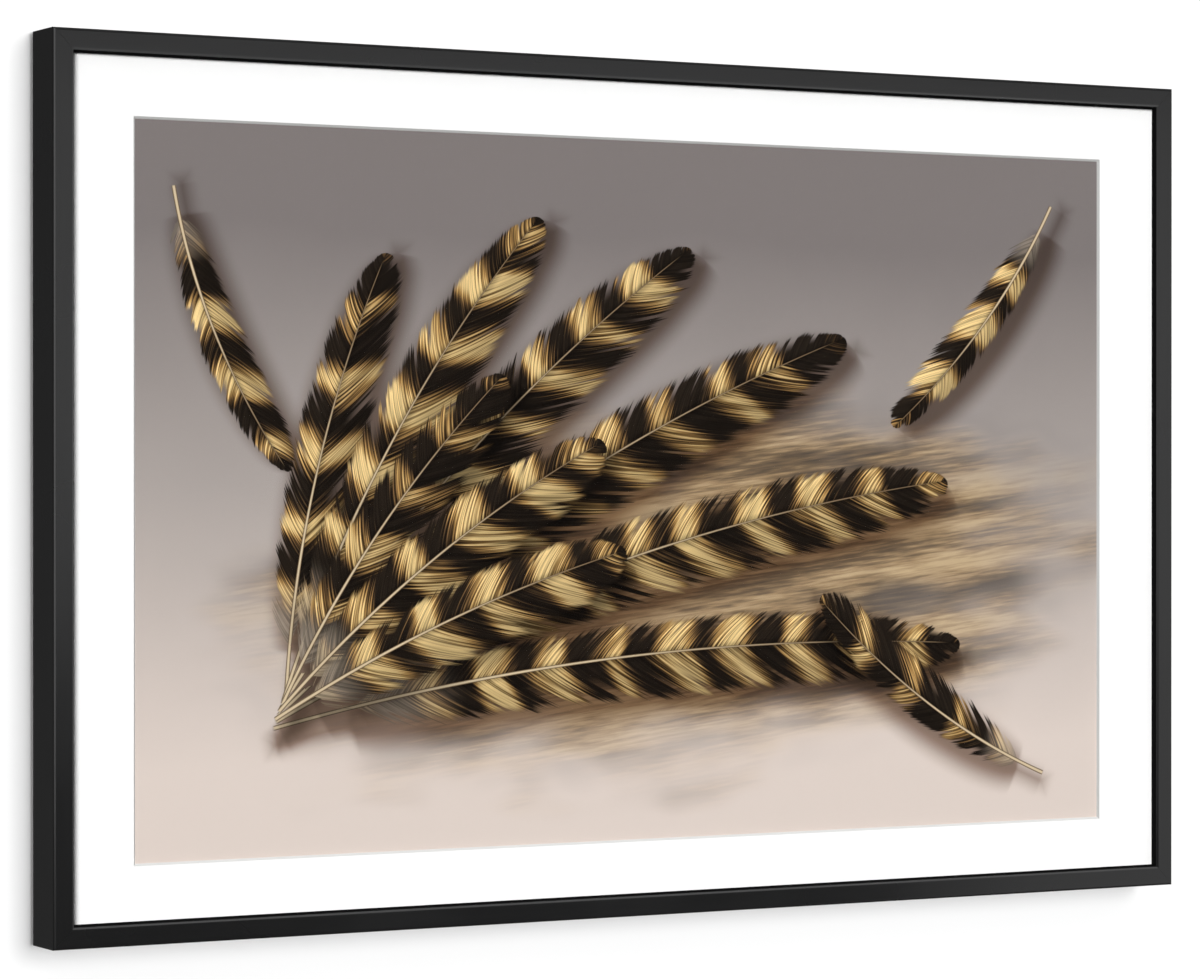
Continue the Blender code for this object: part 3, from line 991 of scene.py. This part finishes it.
def hardboard(settings):
    """Brown hardboard: pressed fibres, flecks and broad mottling."""
    material, graph, shader = new_material("hardboard")
    place = graph.place()
    mottle = graph.noise(place, 22.0, 4.0, 0.6)
    fibres = graph.noise(graph.place(scale=(420.0, 420.0, 900.0)), 1.0, 4.0, 0.65)
    crossed = graph.noise(graph.place(scale=(1100.0, 420.0, 300.0)), 1.0, 3.0, 0.6)
    flecks = graph.noise(place, 520.0, 1.0, 0.5)
    tone = graph.math("MULTIPLY_ADD", fibres, 0.55, graph.times(crossed, 0.45))
    tone = graph.sway(tone, mottle, 0.12)
    colour = graph.shade(settings.board, graph.smooth(tone, 0.34, 0.66, 0.70, 1.22))
    colour = graph.mix(graph.smooth(flecks, 0.70, 0.78, 0.0, 0.7), colour, DARK_FLECK)
    colour = graph.mix(graph.smooth(flecks, 0.28, 0.20, 0.0, 0.5), colour, PALE_FLECK)
    finish(
        shader,
        graph,
        Base_Color=colour,
        Roughness=graph.smooth(tone, 0.3, 0.7, 0.62, 0.48),
        Specular_IOR_Level=0.35,
        Normal=graph.bump(graph.math("ADD", fibres, crossed), FIBRE_DEPTH),
    )
    return material


def soft_rubber(settings):
    """Grey rubber with a moulded grain and a little dust."""
    material, graph, shader = new_material("rubber")
    grain = graph.noise(graph.place(), 2400.0, 2.0, 0.5)
    dust = graph.noise(graph.place(), 380.0, 3.0, 0.6)
    dusty = [1.7 * value + 0.02 for value in settings.rubber]
    finish(
        shader,
        graph,
        Base_Color=graph.mix(graph.smooth(dust, 0.45, 0.75), settings.rubber, dusty),
        Roughness=graph.smooth(grain, 0.3, 0.7, 0.55, 0.72),
        Normal=graph.bump(grain, RUBBER_GRAIN_DEPTH),
    )
    return material


def nodes_named(start):
    """The frame's nodes whose names begin in this way."""
    found = [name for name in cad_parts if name.startswith(start)]
    if not found:
        raise RuntimeError(f"no node is named {start}")
    return found


class FRAMED_PRINT_OT_backing_board(bpy.types.Operator):
    """Finishes the hardboard that closes the back"""

    bl_idname = "framed_print.backing_board"
    bl_label = "Backing board"

    def execute(self, context):
        dress("backing_board", hardboard(context.scene.framed_print_back))
        return {"FINISHED"}


class FRAMED_PRINT_OT_points(bpy.types.Operator):
    """Finishes the steel points that hold the board in"""

    bl_idname = "framed_print.points"
    bl_label = "Framer's points"

    def execute(self, context):
        colour = context.scene.framed_print_back.steel
        upright = plated_steel("point_steel_upright", colour, 2, 0.75, 0.34)
        across = plated_steel("point_steel_across", colour, 0, 0.75, 0.34)
        for side, material in (("top", upright), ("bottom", upright), ("left", across), ("right", across)):
            for node in nodes_named(f"point_{side}_"):
                dress(node, material)
        return {"FINISHED"}


class FRAMED_PRINT_OT_hangers(bpy.types.Operator):
    """Finishes the sawtooth hangers and their screws"""

    bl_idname = "framed_print.hangers"
    bl_label = "Hangers and screws"

    def execute(self, context):
        settings = context.scene.framed_print_back
        zinc = plated_steel("zinc_steel", settings.zinc, 0, 0.5, 0.33)
        for node in ("hanger_left", "hanger_right"):
            dress(node, zinc)
        screw = plated_steel("screw_steel", settings.screw, 1, 0.25, 0.27)
        for node in nodes_named("hanger_screw_"):
            dress(node, screw)
        return {"FINISHED"}


class FRAMED_PRINT_OT_bumpers(bpy.types.Operator):
    """Finishes the rubber bumpers at the bottom corners"""

    bl_idname = "framed_print.bumpers"
    bl_label = "Bumpers"

    def execute(self, context):
        rubber = soft_rubber(context.scene.framed_print_back)
        for node in nodes_named("bumper_"):
            dress(node, rubber)
        return {"FINISHED"}


# Stage

# Widths and heights of the planes, and how far the wall stands behind the part.
WALL_SIZE = (12.0, 6.0)
WALL_Y = 0.0003
FLOOR_SIZE = (60.0, 60.0)
HIGH_CARD_SIZE = (2.4, 0.51)
LOW_CARD_SIZE = (1.2, 0.8)
EDGE_CARD_SIZE = (0.76, 0.93)
MIDDLE_CARD_SIZE = (2.6, 0.45)
RIGHT_CARD_SIZE = (0.9, 0.9)
BACK_CARD_SIZE = (3.6, 1.8)
MOULDING_SIDES = ("top", "right", "bottom", "left")
# What the camera sees past the wall.
SEEN_ROOM = (0.95, 0.95, 0.95)
# The camera is fitted to the frame's outline in the photograph. Its turns are in radians.
CAMERA_PLACE = (-1.47803, -2.6128, -0.2887)
CAMERA_DIP = 0.0035
CAMERA_TURN = -0.50841


def placed(x, y, z, turn=0, tilt=0):
    """The place of a plane's middle. It is tilted about X and then turned about Z, in degrees."""
    tilted = Matrix.Rotation(radians(turn), 4, "Z") @ Matrix.Rotation(radians(tilt), 4, "X")
    return Matrix.Translation((x, y, z)) @ tilted


def stage_plane(name, size, place, material):
    """A plane of the stage. Its width lies along X and its height along Z before it is placed."""
    shape = bmesh.new()
    bmesh.ops.create_grid(shape, x_segments=1, y_segments=1, size=0.5)
    upright = Matrix.Rotation(pi / 2, 4, "X")
    stretch = Matrix.Diagonal((size[0], 1, size[1], 1))
    bmesh.ops.transform(shape, matrix=place @ stretch @ upright, verts=shape.verts)
    mesh = bpy.data.meshes.new(name)
    shape.to_mesh(mesh)
    shape.free()
    mesh.materials.append(material)
    plane = bpy.data.objects.new(name, mesh)
    bpy.context.scene.collection.objects.link(plane)
    return plane


def wall_material(settings):
    """White wall that only shows from the front."""
    material, graph, shader = new_material("wall")
    finish(shader, graph, Base_Color=settings.wall, Roughness=1.0, Specular_IOR_Level=0.0)
    clear = graph.node("ShaderNodeBsdfTransparent")
    mixer = graph.node("ShaderNodeMixShader")
    geometry = graph.node("ShaderNodeNewGeometry")
    graph.feed(mixer.inputs[0], geometry.outputs["Backfacing"])
    graph.feed(mixer.inputs[1], shader.outputs[0])
    graph.feed(mixer.inputs[2], clear.outputs[0])
    output = material.node_tree.nodes["Material Output"]
    graph.feed(output.inputs["Surface"], mixer.outputs[0])
    return material


def floor_material(settings):
    """Pale, matt floor."""
    material, graph, shader = new_material("floor")
    finish(shader, graph, Base_Color=settings.floor, Roughness=0.9, Specular_IOR_Level=0.2)
    return material


def collection_of(name, pieces, state="INCLUDE"):
    """Pieces that a light is limited to, or that it leaves out."""
    made = bpy.data.collections.new(name)
    for piece in pieces:
        made.objects.link(bpy.data.objects[piece])
    for item in made.collection_objects:
        item.light_linking.link_state = state
    return made


def hide_from_rays(stage_piece, *kinds):
    """Leaves a piece of the stage out of these kinds of rays."""
    for kind in kinds:
        setattr(stage_piece, f"visible_{kind}", False)


def add_card(name, glow, size, place, lit):
    """A clear glowing card that shows only in the gloss of the pieces lit, and so never in the glazing."""
    material = bpy.data.materials.new(name)
    material.use_nodes = True
    graph = Graph(material.node_tree)
    light = graph.node("ShaderNodeEmission")
    graph.feed(light.inputs["Strength"], glow)
    both = graph.node("ShaderNodeAddShader")
    graph.feed(both.inputs[0], light.outputs[0])
    graph.feed(both.inputs[1], graph.node("ShaderNodeBsdfTransparent").outputs[0])
    graph.feed(material.node_tree.nodes["Material Output"].inputs["Surface"], both.outputs[0])
    card = stage_plane(name, size, place, material)
    hide_from_rays(card, "camera", "diffuse", "transmission", "shadow")
    card.light_linking.receiver_collection = collection_of(f"{name}_lit", lit)


def add_sun(name, light_on_wall, spread, right, up, from_front=True):
    """A distant soft light, given by the light it throws on the wall. Its angles are in degrees."""
    side = -1 if from_front else 1
    right, up = radians(right), radians(up)
    towards = Vector((sin(right) * cos(up), side * cos(right) * cos(up), sin(up)))
    data = bpy.data.lights.new(name, "SUN")
    data.energy = light_on_wall * pi / abs(towards.y)
    data.angle = radians(spread)
    light = bpy.data.objects.new(name, data)
    light.rotation_euler = towards.to_track_quat("Z", "Y").to_euler()
    light.location = towards * 4
    hide_from_rays(light, "glossy", "transmission")
    bpy.context.scene.collection.objects.link(light)
    return light


def limit_shadows(light, pieces, state):
    """Lets only these pieces throw this light's shadows, or all but these."""
    light.light_linking.blocker_collection = collection_of(f"{light.name}_blockers", pieces, state)


def limit_receivers(light, pieces, state):
    """Lets this light reach only these pieces, or all but these."""
    light.light_linking.receiver_collection = collection_of(f"{light.name}_lit", pieces, state)


def set_world(settings):
    """Even light from the front, brighter from high up, and dim behind but less so low down."""
    world = bpy.data.worlds.new("studio")
    bpy.context.scene.world = world
    world.use_nodes = True
    graph = Graph(world.node_tree)
    background = world.node_tree.nodes["Background"]
    direction = graph.separate(graph.node("ShaderNodeTexCoord").outputs["Generated"])
    behind = graph.smooth(direction[2], 0.06, -0.16, settings.light_behind, 1.5 * settings.light_behind)
    level = graph.smooth(direction[1], 0.1, -0.1, behind, settings.light_around)
    high = graph.smooth(direction[2], 0.25, 0.75, 0.0, settings.light_above)
    path = graph.node("ShaderNodeLightPath").outputs
    dull = graph.math("MULTIPLY_ADD", path["Is Glossy Ray"], -0.6, 1.0)
    light = graph.math("MULTIPLY_ADD", high, dull, level)
    colour = graph.combine(light, light, light)
    graph.feed(background.inputs["Color"], graph.mix(path["Is Camera Ray"], colour, SEEN_ROOM))


def add_wall_and_floor(settings):
    """The wall behind the part and the floor under it. Neither lights the part."""
    middle = placed(0, WALL_Y, settings.floor_height + WALL_SIZE[1] / 2)
    wall = stage_plane("wall", WALL_SIZE, middle, wall_material(settings))
    hide_from_rays(wall, "diffuse", "glossy", "transmission", "shadow")
    level = placed(0, 0, settings.floor_height, tilt=-90)
    floor = stage_plane("floor", FLOOR_SIZE, level, floor_material(settings))
    hide_from_rays(floor, "diffuse", "glossy", "transmission")


def add_cards(settings):
    """The cards that the moulding's faces and arrises mirror, and one for the metal at the back."""
    face, inner = settings.face_card, settings.inner_card
    moulding = [f"moulding_{side}" for side in MOULDING_SIDES]
    level = ("moulding_top", "moulding_bottom")
    metal = nodes_named("hanger_") + nodes_named("point_")
    add_card("high_card", face, HIGH_CARD_SIZE, placed(0.65, -0.55, -0.16), moulding)
    add_card("low_card", 0.9 * face, LOW_CARD_SIZE, placed(1.2, -0.55, -0.815), moulding)
    left = placed(-0.92, -0.42, -0.115, turn=-58)
    add_card("edge_card", settings.edge_card, EDGE_CARD_SIZE, left, moulding)
    add_card("middle_card", inner, MIDDLE_CARD_SIZE, placed(0.3, -0.285, CENTRE_Z, tilt=90), level)
    right = placed(1.0, -0.5, CENTRE_Z, turn=90)
    add_card("right_card", 1.3 * inner, RIGHT_CARD_SIZE, right, ("moulding_left",))
    add_card("back_card", settings.back_card, BACK_CARD_SIZE, placed(0, 1.5, 0.5), metal)


def add_suns(settings):
    """The lights. Shadows fall to the left on the wall and to the right on the mat and the print."""
    inside = ("mat_board", "print_sheet")
    add_sun("front_light", settings.front_light, spread=3, right=0, up=0)
    key = add_sun("key_light", settings.key_light, spread=7, right=3.5, up=2.5)
    soft_key = add_sun("soft_key_light", settings.soft_key_light, spread=28, right=14, up=12)
    limit_shadows(soft_key, ["moulding_right"], "EXCLUDE")
    fill = add_sun("fill_light", settings.fill_light, spread=26, right=-34, up=4)
    limit_shadows(fill, ["moulding_left"], "INCLUDE")
    for light in (key, soft_key, fill):
        limit_receivers(light, inside, "EXCLUDE")
    window = add_sun("window_light", settings.window_light, spread=26, right=-34, up=10)
    limit_shadows(window, ["moulding_left", "moulding_top"], "INCLUDE")
    limit_receivers(window, inside, "INCLUDE")
    add_sun("back_light", settings.back_light, spread=40, right=5, up=40, from_front=False)


def add_camera(settings):
    """The camera, where the photograph was taken from."""
    data = bpy.data.cameras.new("camera")
    data.sensor_width = 36.0
    data.lens = settings.lens
    camera = bpy.data.objects.new("camera", data)
    camera.location = CAMERA_PLACE
    camera.rotation_euler = (pi / 2 - CAMERA_DIP, 0, CAMERA_TURN)
    bpy.context.scene.collection.objects.link(camera)
    return camera


class FRAMED_PRINT_OT_stage(bpy.types.Operator):
    """Sets the wall, the floor, the lights and the camera"""

    bl_idname = "framed_print.stage"
    bl_label = "Stage"

    def execute(self, context):
        settings = context.scene.framed_print_stage
        add_wall_and_floor(settings)
        add_cards(settings)
        add_suns(settings)
        set_world(settings)
        context.scene.camera = add_camera(settings)
        context.scene.view_settings.view_transform = "Standard"
        return {"FINISHED"}


SETTINGS = {
    "framed_print_moulding": MouldingSettings,
    "framed_print_mat": MatSettings,
    "framed_print_picture": PictureSettings,
    "framed_print_glazing": GlazingSettings,
    "framed_print_back": BackSettings,
    "framed_print_stage": StageSettings,
}
OPERATORS = (
    FRAMED_PRINT_OT_moulding,
    FRAMED_PRINT_OT_mat_board,
    FRAMED_PRINT_OT_picture,
    FRAMED_PRINT_OT_glazing,
    FRAMED_PRINT_OT_backing_board,
    FRAMED_PRINT_OT_points,
    FRAMED_PRINT_OT_hangers,
    FRAMED_PRINT_OT_bumpers,
    FRAMED_PRINT_OT_stage,
)


class FRAMED_PRINT_PT_panel(bpy.types.Panel):
    """Lists the settings and the steps"""

    bl_idname = "FRAMED_PRINT_PT_panel"
    bl_label = "Framed Print"
    bl_space_type = "VIEW_3D"
    bl_region_type = "UI"
    bl_category = "Framed Print"

    def draw(self, context):
        for name, group in SETTINGS.items():
            box = self.layout.box()
            settings = getattr(context.scene, name)
            for prop in group.__annotations__:
                box.prop(settings, prop)
        for operator in OPERATORS:
            self.layout.operator(operator.bl_idname)


def register():
    for name, group in SETTINGS.items():
        bpy.utils.register_class(group)
        setattr(bpy.types.Scene, name, PointerProperty(type=group))
    for made in (*OPERATORS, FRAMED_PRINT_PT_panel):
        bpy.utils.register_class(made)


def unregister():
    for made in (FRAMED_PRINT_PT_panel, *reversed(OPERATORS)):
        bpy.utils.unregister_class(made)
    for name, group in SETTINGS.items():
        delattr(bpy.types.Scene, name)
        bpy.utils.unregister_class(group)


def main():
    register()
    bpy.ops.framed_print.moulding()
    bpy.ops.framed_print.mat_board()
    bpy.ops.framed_print.picture()
    bpy.ops.framed_print.glazing()
    bpy.ops.framed_print.backing_board()
    bpy.ops.framed_print.points()
    bpy.ops.framed_print.hangers()
    bpy.ops.framed_print.bumpers()
    bpy.ops.framed_print.stage()


if __name__ == "__main__":
    main()
